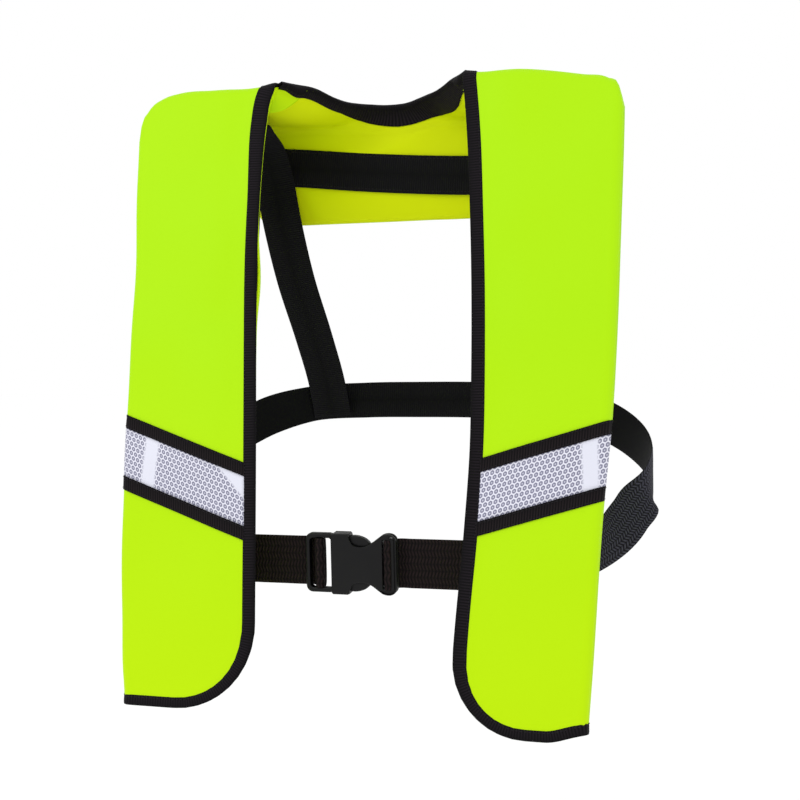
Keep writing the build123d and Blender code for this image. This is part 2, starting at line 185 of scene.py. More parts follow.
def make_object(name, points, faces, uv, material):
    """A mesh object from points in millimetres, with its faces turned outwards."""
    mesh = bpy.data.meshes.new(name)
    mesh.from_pydata((np.asarray(points) * MM).tolist(), [], [list(map(int, f)) for f in faces])
    mesh.update()
    size = len(mesh.loops)
    owners = np.empty(size, int)
    mesh.loops.foreach_get("vertex_index", owners)
    layer = mesh.uv_layers.new(name="UVMap")
    layer.data.foreach_set("uv", (np.asarray(uv)[owners] * MM).astype(np.float32).ravel())
    work = bmesh.new()
    work.from_mesh(mesh)
    if work.calc_volume(signed=True) < 0:
        bmesh.ops.reverse_faces(work, faces=work.faces)
    work.to_mesh(mesh)
    work.free()
    mesh.shade_smooth()
    mesh.materials.append(material)
    return add_object(name, mesh)


def shell(name, front, back, uv, material):
    """A closed piece between two surfaces given as rows of points."""
    rows, columns = front.shape[:2]
    count = rows * columns
    index = np.arange(count).reshape(rows, columns)
    near = np.stack([index[:-1, :-1], index[:-1, 1:], index[1:, 1:], index[1:, :-1]], -1).reshape(-1, 4)
    far = near[:, ::-1] + count
    edge = np.concatenate([index[0, :-1], index[:-1, -1], index[-1, :0:-1], index[:0:-1, 0]])
    following = np.roll(edge, -1)
    rim = np.stack([following, edge, edge + count, following + count], -1)
    points = np.concatenate([front.reshape(-1, 3), back.reshape(-1, 3)])
    uv = np.concatenate([uv.reshape(-1, 2)] * 2)
    return make_object(name, points, np.concatenate([near, far, rim]), uv, material)


def cloth(name, points, normals, uv, material, thick=CLOTH):
    """A sheet of cloth whose seen face is given, with its thickness behind that face."""
    return shell(name, points, points - normals * thick, uv, material)


def strip(name, path, normal, width, thick, material, shift=0.0):
    """Webbing or tape along a path, with rounded edges; shift moves it sideways off the path."""
    path = np.asarray(path, float)
    normal = np.broadcast_to(np.asarray(normal, float), path.shape)
    normal, across = square_to(path, normal)
    place = np.array([-1, -0.97, -0.86, -0.5, 0, 0.5, 0.86, 0.97, 1])
    half = thick / 2 * np.sqrt(np.clip(1 - np.abs(place) ** 6, 0.03, 1))
    width, shift = (np.broadcast_to(value, len(path))[:, None] for value in (width, shift))
    sideways = place * width / 2 + shift
    middle = path[:, None] + across[:, None] * sideways[..., None]
    lift = normal[:, None] * half[None, :, None]
    reach = distances(path)
    uv = combine(reach[:, None], sideways)
    return shell(name, middle + lift, middle - lift, uv, material)


def plate(name, outlines, thick, bevel, material):
    """A moulded plate from its outline and holes, each a list of x and z, with rounded edges."""
    drawing = bpy.data.curves.new(name, "CURVE")
    drawing.dimensions = "2D"
    drawing.fill_mode = "BOTH"
    drawing.extrude = (thick / 2 - bevel) * MM
    drawing.bevel_depth = bevel * MM
    drawing.offset = -bevel * MM
    drawing.bevel_resolution = 2
    for outline in outlines:
        line = drawing.splines.new("POLY")
        line.points.add(len(outline) - 1)
        for point, (x, z) in zip(line.points, outline):
            point.co = (x * MM, z * MM, 0, 1)
        line.use_cyclic_u = True
    shape = add_object(name, drawing)
    mesh = plain_mesh(shape)
    bpy.data.objects.remove(shape)
    bpy.data.curves.remove(drawing)
    work = bmesh.new()
    work.from_mesh(mesh)
    bmesh.ops.remove_doubles(work, verts=work.verts, dist=1e-6)
    bmesh.ops.recalc_face_normals(work, faces=work.faces)
    work.to_mesh(mesh)
    work.free()
    mesh.transform(Matrix.Rotation(pi / 2, 4, "X"))
    mesh.shade_smooth()
    mesh.materials.clear()
    mesh.materials.append(material)
    return add_object(name, mesh)


def join(name, parts):
    """Several parts made one object."""
    bpy.ops.object.select_all(action="DESELECT")
    for part in parts:
        part.select_set(True)
    bpy.context.view_layer.objects.active = parts[0]
    bpy.ops.object.join()
    parts[0].name = name
    parts[0].data.name = name
    return parts[0]


def belongs(piece, body, *nodes, slot):
    """Hangs a piece on a CAD body, in place of CAD nodes; its slot is not used."""
    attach(piece, body)
    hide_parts(*nodes)


def crease(made):
    """Keeps corners of more than 35 degrees sharp in the smooth shading."""
    made.data.set_sharp_from_angle(angle=radians(35))
    return made


# ---- materials
def rgb(red, green, blue):
    """A shader colour from screen values of 0 to 255."""
    return tuple((value / 255) ** 2.2 for value in (red, green, blue)) + (1,)


def link(tree, value, socket):
    """Sets a socket from another socket or from a plain value."""
    if isinstance(value, bpy.types.NodeSocket):
        tree.links.new(value, socket)
    else:
        socket.default_value = value


def reckon(tree, operation, *values):
    """A sum on numbers in a node tree."""
    node = tree.nodes.new("ShaderNodeMath")
    node.operation = operation
    for socket, value in zip(node.inputs, values):
        link(tree, value, socket)
    return node.outputs[0]


def vector_math(tree, operation, *values, output=0):
    """A sum on vectors in a node tree."""
    node = tree.nodes.new("ShaderNodeVectorMath")
    node.operation = operation
    for socket, value in zip(node.inputs, values):
        link(tree, value, socket)
    return node.outputs[output]


def components(tree, vector):
    """A vector's x, y and z, each on its own."""
    node = tree.nodes.new("ShaderNodeSeparateXYZ")
    link(tree, vector, node.inputs[0])
    return node.outputs


def shader_group(name, inputs, outputs):
    """An empty group with named inputs and outputs."""
    tree = bpy.data.node_groups.new(name, "ShaderNodeTree")
    for label, kind, value in inputs:
        socket = tree.interface.new_socket(label, in_out="INPUT", socket_type=kind)
        if value is not None:
            socket.default_value = value
    for label, kind in outputs:
        tree.interface.new_socket(label, in_out="OUTPUT", socket_type=kind)
    return tree, tree.nodes.new("NodeGroupInput").outputs, tree.nodes.new("NodeGroupOutput").inputs


FLOAT = "NodeSocketFloat"
VECTOR = "NodeSocketVector"


def rib_group():
    """Woven ribs: height from 0 to 1, slanted into Vs when slant isn't 0."""
    tree, given, result = shader_group(
        "woven_ribs",
        [("Vector", VECTOR, None), ("Pitch", FLOAT, 0.002), ("Column", FLOAT, 0.006), ("Slant", FLOAT, 0.0)],
        [("Height", FLOAT)],
    )
    apart = components(tree, given["Vector"])
    along = reckon(tree, "DIVIDE", apart[0], given["Pitch"])
    across = reckon(tree, "DIVIDE", apart[1], given["Column"])
    zigzag = reckon(tree, "MULTIPLY", reckon(tree, "PINGPONG", across, 1.0), given["Slant"])
    wave = reckon(tree, "SINE", reckon(tree, "MULTIPLY", reckon(tree, "ADD", along, zigzag), 2 * pi))
    rib = reckon(tree, "MULTIPLY_ADD", wave, 0.5, 0.5)
    groove = reckon(tree, "ABSOLUTE", reckon(tree, "SINE", reckon(tree, "MULTIPLY", across, pi)))
    deep = reckon(tree, "POWER", groove, 0.4)
    link(tree, reckon(tree, "MULTIPLY", rib, deep), result["Height"])
    return tree


def honeycomb_group():
    """Six-sided cells: distance from a cell's middle, 0.5 at its border."""
    tree, given, result = shader_group(
        "honeycomb", [("Vector", VECTOR, None), ("Cell", FLOAT, 0.0046)], [("Distance", FLOAT)])
    scaled = vector_math(tree, "DIVIDE", given["Vector"], given["Cell"])
    lattice = (1.0, 3**0.5, 1.0)
    cells = []
    for offset in ((0, 0, 0), (0.5, 3**0.5 / 2, 0)):
        moved = vector_math(tree, "SUBTRACT", scaled, offset)
        part = vector_math(tree, "FRACTION", vector_math(tree, "DIVIDE", moved, lattice))
        local = vector_math(tree, "MULTIPLY", vector_math(tree, "SUBTRACT", part, (0.5, 0.5, 0)), lattice)
        size = vector_math(tree, "ABSOLUTE", local)
        apart = components(tree, size)
        slanted = reckon(tree, "MULTIPLY_ADD", apart[1], 3**0.5 / 2,
                         reckon(tree, "MULTIPLY", apart[0], 0.5))
        cells.append(reckon(tree, "MAXIMUM", slanted, apart[0]))
    link(tree, reckon(tree, "MINIMUM", *cells), result["Distance"])
    return tree


def wear_group():
    """Soft uneven patches, from 0 to 1, for cloth that has been handled."""
    tree, given, result = shader_group(
        "handled_patches", [("Vector", VECTOR, None), ("Size", FLOAT, 9.0)], [("Amount", FLOAT)])
    noise = tree.nodes.new("ShaderNodeTexNoise")
    link(tree, given["Vector"], noise.inputs["Vector"])
    link(tree, given["Size"], noise.inputs["Scale"])
    noise.inputs["Detail"].default_value = 3
    link(tree, noise.outputs[0], result["Amount"])
    return tree


RIBS = rib_group()
HONEYCOMB = honeycomb_group()
PATCHES = wear_group()


def start_material(name, color, roughness, specular=0.5, metallic=0.0):
    """A material with its shader, ready for its pattern."""
    material = bpy.data.materials.new(name)
    material.use_nodes = True
    shader = material.node_tree.nodes["Principled BSDF"]
    looks = {"Base Color": color, "Roughness": roughness, "Specular IOR Level": specular, "Metallic": metallic}
    for label, value in looks.items():
        shader.inputs[label].default_value = value
    return material, material.node_tree, shader


def coordinates(tree, output):
    """Where a point is, on the object or on its UV."""
    return tree.nodes.new("ShaderNodeTexCoord").outputs[output]


def use_group(tree, group, **values):
    """Places a group in a tree with its own values."""
    node = tree.nodes.new("ShaderNodeGroup")
    node.node_tree = group
    for name, value in values.items():
        link(tree, value, node.inputs[name])
    return node.outputs[0]


def mix_colors(tree, amount, first, second):
    """The first colour where amount is 0, the second where it is 1."""
    node = tree.nodes.new("ShaderNodeMix")
    node.data_type = "RGBA"
    link(tree, amount, node.inputs[0])
    link(tree, first, node.inputs[6])
    link(tree, second, node.inputs[7])
    return node.outputs[2]


def bump(tree, shader, height, strength, distance):
    """Raises a material's surface by a height from 0 to 1."""
    node = tree.nodes.new("ShaderNodeBump")
    node.inputs["Strength"].default_value = strength
    node.inputs["Distance"].default_value = distance
    link(tree, height, node.inputs["Height"])
    link(tree, node.outputs[0], shader.inputs["Normal"])


def fade(tree, value, full, gone):
    """1 where value is below full, falling to 0 at gone."""
    node = tree.nodes.new("ShaderNodeMapRange")
    for socket, amount in zip(node.inputs, (value, full, gone, 1.0, 0.0)):
        link(tree, amount, socket)
    return node.outputs[0]


def outward_only(tree, amount):
    """An amount kept on faces turned away from the body and dropped on faces turned to it."""
    place = vector_math(tree, "SUBTRACT", coordinates(tree, "Object"), (0, 0.04, 0))
    level = vector_math(tree, "MULTIPLY", place, (1, 1, 0))
    facing = vector_math(tree, "DOT_PRODUCT", level, coordinates(tree, "Normal"), output="Value")
    outside = reckon(tree, "GREATER_THAN", facing, 0.0)
    return reckon(tree, "MULTIPLY", amount, outside)


def ribbed(name, dark, light, pitch, column, slant, roughness=0.75, depth=0.0006, plain_inside=False):
    """Woven black webbing or binding, with painted highlight on top of its ribs and painted shade in the
    grooves between them.
    """
    material, tree, shader = start_material(name, dark, roughness, 0.12)
    height = use_group(tree, RIBS, Vector=coordinates(tree, "UV"), Pitch=pitch, Column=column, Slant=slant)
    if plain_inside:
        height = outward_only(tree, height)
    # Painted highlight and shade: the colour runs from dark in the grooves to light on the rib tops, following
    # the ribs' height.
    link(tree, mix_colors(tree, height, dark, light), shader.inputs["Base Color"])
    bump(tree, shader, height, 0.6, depth)
    return material


def moulded(name, color, roughness, specular=0.5, metallic=0.0):
    """Moulded or drawn stuff: a fine grain, and slight unevenness in its colour and sheen."""
    material, tree, shader = start_material(name, color, roughness, specular, metallic)
    where = coordinates(tree, "Object")
    sheen = use_group(tree, PATCHES, Vector=where, Size=60.0)
    paler = tuple(min(1.0, channel * 1.25) for channel in color[:3]) + (1.0,)
    link(tree, mix_colors(tree, sheen, color, paler), shader.inputs["Base Color"])
    link(tree, reckon(tree, "MULTIPLY_ADD", sheen, 0.16, roughness - 0.08), shader.inputs["Roughness"])
    bump(tree, shader, use_group(tree, PATCHES, Vector=where, Size=900.0), 0.15, 0.0004)
    return material


def coated_cloth(name, color, paler, roughness, low=None):
    """Smooth coated cloth with faint patches, and warmer towards its foot where a low color is given."""
    material, tree, shader = start_material(name, color, roughness, 0.08)
    where = coordinates(tree, "Object")
    patches = use_group(tree, PATCHES, Vector=where, Size=6.0)
    shade = mix_colors(tree, patches, color, paler)
    if low is not None:
        apart = components(tree, where)
        shade = mix_colors(tree, fade(tree, apart[2], -0.52, -0.2), shade, low)
    link(tree, shade, shader.inputs["Base Color"])
    bump(tree, shader, use_group(tree, PATCHES, Vector=where, Size=45.0), 0.12, 0.002)
    return material


def honeycomb_tape(name, painted_glare_corner):
    """Silver tape: rings in six-sided cells, washed out to pale silver by painted glare in a slanted streak
    and in one corner.
    """
    material, tree, shader = start_material(name, rgb(216, 217, 226), 0.35, 0.3)
    uv = coordinates(tree, "UV")
    distance = use_group(tree, HONEYCOMB, Vector=uv, Cell=0.0046)
    ramp = tree.nodes.new("ShaderNodeValToRGB")
    ramp.color_ramp.elements[0].position = 0.0
    ramp.color_ramp.elements[0].color = rgb(192, 192, 206)
    ramp.color_ramp.elements[1].position = 1.0
    ramp.color_ramp.elements[1].color = rgb(222, 222, 234)
    for place, color in ((0.10, (186, 186, 202)), (0.20, (112, 112, 134)), (0.32, (114, 114, 136)),
                         (0.40, (196, 196, 210)), (0.45, (222, 222, 234))):
        ramp.color_ramp.elements.new(place).color = rgb(*color)
    link(tree, distance, ramp.inputs[0])
    apart = components(tree, uv)
    over, down = apart[0], apart[1]
    # Painted reflection: a slanted streak and the upper inner corner of the tape turn pale silver, standing in
    # for glare of the lamps on the curved film.
    slanted = reckon(tree, "ADD", over, reckon(tree, "MULTIPLY", down, -0.12))
    painted_glare_streak = fade(tree, reckon(tree, "ABSOLUTE", reckon(tree, "SUBTRACT", slanted, 0.0945)), 0.0055, 0.0085)
    corner = fade(tree, reckon(tree, "MULTIPLY_ADD", down, 1.45, over), 0.026, 0.031)
    painted_glare = reckon(tree, "MAXIMUM", painted_glare_streak, reckon(tree, "MULTIPLY", corner, painted_glare_corner))
    shade = mix_colors(tree, painted_glare, ramp.outputs[0], rgb(214, 215, 228))
    link(tree, shade, shader.inputs["Base Color"])
    return material


LIME = coated_cloth("cover_fabric", rgb(168, 220, 8), rgb(165, 224, 24), 0.5, rgb(180, 222, 4))
LINING = coated_cloth("lining_fabric", rgb(190, 228, 8), rgb(196, 234, 12), 0.6)
# The yoke's lining: the lining's own yellow, shifted to olive as painted shade for the inside of the yoke seen
# through the neck.
YOKE_LINING_SHADED = coated_cloth("yoke_lining_painted_shade", rgb(206, 220, 3), rgb(212, 226, 6), 0.6)
BLADDER = coated_cloth("bladder_fabric", rgb(236, 138, 22), rgb(242, 152, 34), 0.4)
# Only the right tape has the painted glare in its corner; both tapes have the painted glare streak.
TAPES = {
    "right": honeycomb_tape("reflective_tape_right", 1.0),
    "left": honeycomb_tape("reflective_tape_left", 0.0),
}
# The second colour of each ribbed material is the painted highlight on its rib tops.
BINDING_TAPE = ribbed("binding", rgb(10, 8, 11), rgb(34, 29, 34), 0.0024, 0.03, 0.0)
EDGING_TAPE = ribbed("tape_edging", rgb(10, 8, 11), rgb(36, 30, 32), 0.0024, 0.03, 0.0)
SIDE_WEBBING = ribbed("side_webbing", rgb(8, 8, 11), rgb(66, 66, 76), 0.0026, 0.0042, 0.8, plain_inside=True)
BACK_WEBBING = ribbed("back_webbing", rgb(6, 6, 8), rgb(28, 27, 31), 0.0022, 0.09, 0.0)
FRONT_WEBBING = ribbed("front_webbing", rgb(10, 5, 6), rgb(38, 29, 30), 0.0030, 0.006, 0.6)
PLASTIC = moulded("buckle_plastic", rgb(13, 13, 14), 0.4, 0.2)
HOOKS = ribbed("hook_and_loop", rgb(14, 14, 15), rgb(50, 50, 52), 0.0012, 0.0012, 0.0, 0.95)
THREAD = moulded("black_thread", rgb(30, 28, 32), 0.7, 0.2)
RED_WEBBING = ribbed("pull_webbing", rgb(150, 24, 22), rgb(200, 50, 40), 0.002, 0.006, 0.0)
ELASTIC = ribbed("loop_elastic", rgb(22, 22, 24), rgb(60, 60, 64), 0.0015, 0.003, 0.0)


# ---- stitches
def stitch_rule():
    """Thread stitches, end to end along the lines they are given."""
    tree = bpy.data.node_groups.new("stitch_row", "GeometryNodeTree")
    tree.interface.new_socket("Geometry", in_out="INPUT", socket_type="NodeSocketGeometry")
    for name, size in (("Pitch", 0.0036), ("Length", 0.0026), ("Thickness", 0.0007)):
        socket = tree.interface.new_socket(name, in_out="INPUT", socket_type="NodeSocketFloat")
        socket.default_value = size
    tree.interface.new_socket("Thread", in_out="INPUT", socket_type="NodeSocketMaterial")
    tree.interface.new_socket("Geometry", in_out="OUTPUT", socket_type="NodeSocketGeometry")

    def node(kind, **inputs):
        made = tree.nodes.new(kind)
        for name, value in inputs.items():
            link(tree, value, made.inputs[name])
        return made

    given = node("NodeGroupInput").outputs
    line = node("GeometryNodeMeshToCurve", Mesh=given["Geometry"])
    spaced = node("GeometryNodeResampleCurve", Curve=line.outputs[0])
    spaced.mode = "LENGTH"
    link(tree, given["Pitch"], spaced.inputs["Length"])
    size = node("ShaderNodeCombineXYZ", X=given["Thickness"], Y=given["Thickness"], Z=given["Length"])
    bead = node("GeometryNodeMeshIcoSphere", Radius=0.5)
    stitch = node("GeometryNodeTransform", Geometry=bead.outputs[0], Scale=size.outputs[0])
    turned = node("FunctionNodeAlignRotationToVector", Vector=node("GeometryNodeInputTangent").outputs[0])
    turned.axis = "Z"
    placed = node("GeometryNodeInstanceOnPoints", Points=spaced.outputs[0], Instance=stitch.outputs[0],
                  Rotation=turned.outputs[0])
    real = node("GeometryNodeRealizeInstances", Geometry=placed.outputs[0])
    finished = node("GeometryNodeSetMaterial", Geometry=real.outputs[0], Material=given["Thread"])
    link(tree, finished.outputs[0], node("NodeGroupOutput").inputs["Geometry"])
    return tree


STITCHES = stitch_rule()


def beside(path, normal, shift, lift):
    """A line beside a path: shifted sideways over its surface and lifted off it."""
    normal, across = square_to(path, normal)
    return path + across * np.broadcast_to(shift, len(path))[:, None] + normal * lift


def stitch_rows(name, lines):
    """Rows of stitches along lines of points, as one mesh."""
    edges = []
    first = 0
    for line in lines:
        edges += [(first + k, first + k + 1) for k in range(len(line) - 1)]
        first += len(line)
    guide = bpy.data.meshes.new(name)
    guide.from_pydata((np.concatenate(lines) * MM).tolist(), edges, [])
    made = add_object(name, guide)
    rule = made.modifiers.new("stitches", "NODES")
    rule.node_group = STITCHES
    sizes = {"Pitch": 0.0036, "Length": 0.0027, "Thickness": 0.0008, "Thread": THREAD}
    for socket in STITCHES.interface.items_tree:
        if socket.name in sizes:
            rule[socket.identifier] = sizes[socket.name]
    mesh = plain_mesh(made)
    made.modifiers.clear()
    made.data = mesh
    bpy.data.meshes.remove(guide)
    mesh.shade_smooth()
    return made


# ---- lobes
def inner_edge(lobe, a):
    """Inner edge of a lobe at height a, with the round corner of its foot."""
    up = np.clip(a - lobe["foot"], 0, lobe["foot_round"])
    turned = lobe["foot_round"] - np.sqrt(lobe["foot_round"] ** 2 - (lobe["foot_round"] - up) ** 2)
    return curve(lobe["inner"], a) + turned


def from_edge(lobe, x, a):
    """Distance from a lobe's bound edge: its inner edge, its round corner or its foot."""
    across = x - curve(lobe["inner"], a)
    up = a - lobe["foot"]
    turn = lobe["foot_round"]
    corner = turn - np.hypot(np.maximum(turn - across, 0), np.maximum(turn - up, 0))
    return np.where((across < turn) & (up < turn), corner, np.minimum(across, up))


def front_depth(lobe, x, a, outer):
    """How far the cover's face stands behind the lobe's flat front: full, softly creased and rolled back."""
    roll = np.clip(x - (outer - 8), 0, 7.9)
    away = from_edge(lobe, x, a)
    soft = 0.9 * np.sin(x / 21 + a / 58) * np.sin(a / 41 + lobe["sign"])
    soft = soft + 0.6 * np.sin(a / 17 - x / 33 + 2 * lobe["sign"])
    full = 2.2 * ease((away - 8) / 40)
    return soft * ease((away - 6) / 30) - full + 8 - np.sqrt(64 - roll**2)


def front_normals(lobe, x, a, outer):
    """Normals of a cover's face, from how its depth changes across and up."""
    slope_x = (front_depth(lobe, x + 0.2, a, outer) - front_depth(lobe, x - 0.2, a, outer)) / 0.4
    slope_a = (front_depth(lobe, x, a + 0.2, outer) - front_depth(lobe, x, a - 0.2, outer)) / 0.4
    level = np.array([0, -cos(LEAN), sin(LEAN)])
    rising = np.array([0, sin(LEAN), cos(LEAN)])
    sideways = np.array([lobe["sign"], 0, 0])
    return unit(level + slope_x[..., None] * sideways + slope_a[..., None] * rising)


def cover_surface(lobe, across_count=40, up_count=76):
    """A lobe's front cloth from its foot up over the shoulder fold to the seam: rows of points."""
    across = 0.5 - 0.5 * np.cos(np.linspace(0, pi, across_count))
    across = 0.35 * across + 0.65 * np.linspace(0, 1, across_count)
    top_x = curve(lobe["inner"], 20.0) + across * (curve(lobe["outer"], 0.0) - curve(lobe["inner"], 20.0))
    ridge = curve(lobe["ridge"], top_x)
    fold_a = (ridge - FOLD + FOLD * sin(LEAN)) / cos(LEAN)
    climb = np.linspace(0, 1, up_count)
    climb = np.concatenate([climb[climb < 0.12] ** 2 / 0.12, climb[climb >= 0.12]])[:, None]
    a = lobe["foot"] + climb * (fold_a - lobe["foot"])
    inner = inner_edge(lobe, a)
    outer = curve(lobe["outer"], a)
    x = inner + across * (outer - inner)
    a = a + lobe["foot_rise"] * ease((x - 165) / 35) * (1 - ease((a - lobe["foot"]) / 60))
    depth = front_depth(lobe, x, a, outer)
    front = lobe_point(lobe["sign"] * x, a, depth)
    front_face = front_normals(lobe, x, a, outer)
    last = depth[-1]
    turn = np.linspace(0, pi / 2 - LEAN, 8)[1:, None]
    centre_y = LOBE_Y + fold_a * sin(LEAN) + FOLD * cos(LEAN)
    swing = FOLD - last * np.cos(turn)
    fold_y = centre_y - swing * np.cos(turn + LEAN)
    fold_z = ridge - FOLD + swing * np.sin(turn + LEAN)
    fold = combine(lobe["sign"] * x[-1], fold_y, fold_z)
    back = np.linspace(0, 1, 7)[1:, None]
    roof_y = centre_y + back * (SEAM_Y - centre_y)
    inner_x = x[-1, 0] - (x[-1, 0] - 71) * back**1.5
    outer_x = x[-1, -1] - (x[-1, -1] - 219) * back
    roof_x = inner_x + across * (outer_x - inner_x)
    roof = combine(lobe["sign"] * roof_x, roof_y, ridge + 0 * roof_y)
    points = np.concatenate([front, fold, roof])
    normals = surface_normals(points, FORWARD)
    normals[: len(front) - 2] = front_face[:-2]
    return points, normals, across, len(front)


def surface_uv(points):
    """UV in millimetres: across the lobe and up its middle."""
    middle = points[:, points.shape[1] // 2]
    up = distances(middle)
    return combine(np.abs(points[:, :, 0]), up[:, None])


def lining_surface(lobe, points, normals, across, front_rows):
    """The lobe's back: joined to the cover along its edges, and full in the middle."""
    rows = len(points)
    part = np.clip((np.arange(rows) - front_rows) / (rows - front_rows - 1), 0, 1)[:, None]
    apart = 4.2 - 1.5 * ease(part) - 2.6 * (1 - ease(part) * 0.5) * ease((across - 0.9) / 0.1)
    close = points - normals * apart[..., None]
    up = distances(points[:, len(across) // 2])
    shown = np.exp(-(((up - 395) / 30) ** 2))[:, None]
    close[..., 0] += lobe["sign"] * 2.6 * (1 - shown) * (1 - part) * (1 - across) ** 8
    under = close.copy()
    front = slice(0, front_rows)
    inward = np.array([0, cos(LEAN), -sin(LEAN)])
    depth = (points[front] - lobe_point(0, 0, 0)) @ inward
    under[front] = points[front] + inward * (POCKET_DEPTH - 0.8 * depth)[..., None]
    start = under[front_rows - 1]
    end = points[-1] - np.array([0, 0, 17.0])
    back_step = ease(np.linspace(0, 1, rows - front_rows + 1))[1:, None, None]
    under[front_rows:] = start + (end - start) * back_step
    power = np.where(across < 0.5, 6 + 6 * shown, 12)
    full = (1 - np.abs(2 * across - 1) ** power) * ease(up / 30)[:, None] ** 0.6
    at_seam = np.sqrt(ease(np.minimum(across, 1 - across) * 150 / 34))[None, :]
    full = full + (at_seam - full) * ease(part)
    return close + (under - close) * full[:, :, None]


def edge_path(points, normal):
    """Down a cover's inner edge and out along its foot, with the face's normals."""
    path = np.concatenate([points[::-1, 0], points[0, 1:]])
    face = np.concatenate([normal[::-1, 0], normal[0, 1:]])
    return even_steps(path, face)


def lobe_patch(lobe, top, corners):
    """A patch of tape laid on the cover between four corners: rows of points and its size."""
    inner_top, outer_top, inner_low, outer_low = (np.array(corner, float) for corner in corners)
    over = np.linspace(0, 1, 40)[:, None, None]
    down = np.linspace(0, 1, 9)[None, :, None]
    upper = inner_top + over * (outer_top - inner_top)
    lower = inner_low + over * (outer_low - inner_low)
    place = upper + down * (lower - upper)
    x, a = place[..., 0], place[..., 1]
    outer = curve(lobe["outer"], a)
    x = np.minimum(x, outer)
    depth = front_depth(lobe, x, a, outer)
    width = np.linalg.norm(outer_top - inner_top)
    tall = np.linalg.norm(inner_low - inner_top) * cos(radians(19))
    uv = combine(over[..., 0] * width, down[..., 0] * tall)
    return lobe_point(lobe["sign"] * x, a, depth - top), lobe_point(lobe["sign"] * x, a, depth + 0.1), uv


def part_way(corners, upper, lower):
    """The part of a four-cornered patch between two shares of its height."""
    inner_top, outer_top, inner_low, outer_low = (np.array(corner, float) for corner in corners)
    return [
        inner_top + upper * (inner_low - inner_top),
        outer_top + upper * (outer_low - outer_top),
        inner_top + lower * (inner_low - inner_top),
        outer_top + lower * (outer_low - outer_top),
    ]


def bladder_surface(lobe):
    """The folded bladder inside a lobe, with room beside it for its fittings."""
    pocket = (-551, -306) if lobe["sign"] < 0 else (-442, -288)
    a = np.linspace(lobe["foot"] + 14, -16, 90)[:, None]
    over = 0.5 - 0.5 * np.cos(np.linspace(0, pi, 30))[None, :]
    inner = inner_edge(lobe, a) + 9
    whole = curve(lobe["outer"], a) - 12
    beside = ease((a - pocket[0]) / 8) * (1 - ease((a - pocket[1] + 8) / 8))
    if lobe["sign"] < 0:
        beside = 1 - ease((a - pocket[1] + 8) / 8)
    outer = whole + (133 - whole) * beside
    x = inner + over * (outer - inner)
    share = (a - a.min()) / (a.max() - a.min())
    edge = np.minimum(x - inner, outer - x)
    half = 9.6 * np.sqrt(1 - (1 - np.clip(edge / 13, 0, 1)) ** 2) * np.sqrt(1 - np.abs(2 * share - 1) ** 24)
    half = np.maximum(half, 0.3)
    folds = 1.3 * np.sin(a / 9 + x / 60) * (half > 2) + 0.5 * np.sin(x / 7)
    front = lobe_point(lobe["sign"] * x, a, BLADDER_DEPTH - half + folds * half / 10)
    back = lobe_point(lobe["sign"] * x, a, BLADDER_DEPTH + half)
    uv = combine(x, a)
    return front, back, uv


def bend_with_cover(piece):
    """Bakes the piece's placement into its mesh."""
    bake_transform(piece)


def build_lobe(side):
    """One lobe: cover, binding, tape, closure, lining and folded bladder."""
    lobe = LOBES[side]
    points, normals, across, front_rows = cover_surface(lobe)
    uv = surface_uv(points)
    cover = cloth(f"cover_cloth_{side}", points, normals, uv, LIME)
    path, face = edge_path(points, normals)
    turn = -lobe["sign"]
    level = np.abs(unit(np.gradient(path, axis=0))[:, 0]) * (path[:, 2] < -300)
    wide = BINDING + (3.5 if side == "right" else 0.5) * ease((path[:, 2] + 90) / 80) - 2.8 * ease(level)
    middle = turn * (wide / 2 - 0.7)
    binding = strip(f"binding_{side}", path - face * 0.6, face, wide, 3.0, BINDING_TAPE, middle)
    row = beside(path, face, turn * (wide - 2.6), 0.85)
    binding_stitches = stitch_rows(f"binding_stitches_{side}", [row])
    lining_points = lining_surface(lobe, points, normals, across, front_rows)
    lining = cloth(f"lining_{side}", lining_points, surface_normals(lining_points, FORWARD), uv, LINING)
    front, back, bladder_uv = bladder_surface(lobe)
    bladder = shell(f"bladder_folded_{side}", front, back, bladder_uv, BLADDER)
    below = path[:, 2] < -99
    hooks_path = (path - face * 2.55)[below]
    loops_path = (path - face * 3.6)[below]
    hooks = strip(f"hook_strip_{side}", hooks_path, face[below], BINDING, 0.8, HOOKS, turn * 8.5)
    loops = strip(f"loop_strip_{side}", loops_path, face[below], BINDING, 0.8, HOOKS, turn * 8.5)
    pieces = {}
    rows = []
    for name, node, slot, upper, lower, lift, material in (
        ("tape_band", "reflective_tape", "reflective_tape", 0.18, 0.835, 0.6, TAPES[side]),
        ("edging_above", "tape_edging_upper", "binding", 0.012, 0.19, 1.1, EDGING_TAPE),
        ("edging_below", "tape_edging_lower", "binding", 0.828, 1.012, 1.1, EDGING_TAPE),
    ):
        near, far, patch_uv = lobe_patch(lobe, lift, part_way(lobe["tape"], upper, lower))
        pieces[name] = shell(f"{name}_{side}", near, far, patch_uv, material)
        belongs(pieces[name], f"cover_{side}", f"{node}_{side}", slot=slot)
        if material is EDGING_TAPE:
            rows += [near[:, 1], near[:, -2]]
    pieces["stitches"] = stitch_rows(f"edging_stitches_{side}", rows)
    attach(pieces["stitches"], f"cover_{side}")
    for piece in (cover, binding, binding_stitches):
        bend_with_cover(piece)
    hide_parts(f"upper_cover_{side}", f"lobe_cover_{side}")
    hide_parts(f"edge_binding_{side}")
    belongs(lining, "harness", f"lobe_lining_{side}", slot="lining_fabric")
    belongs(bladder, "harness", f"bladder_{side}", slot="bladder_fabric")
    belongs(hooks, f"cover_{side}", f"closure_hooks_{side}", slot="hook_and_loop")
    belongs(loops, "harness", f"closure_loops_{side}", slot="hook_and_loop")


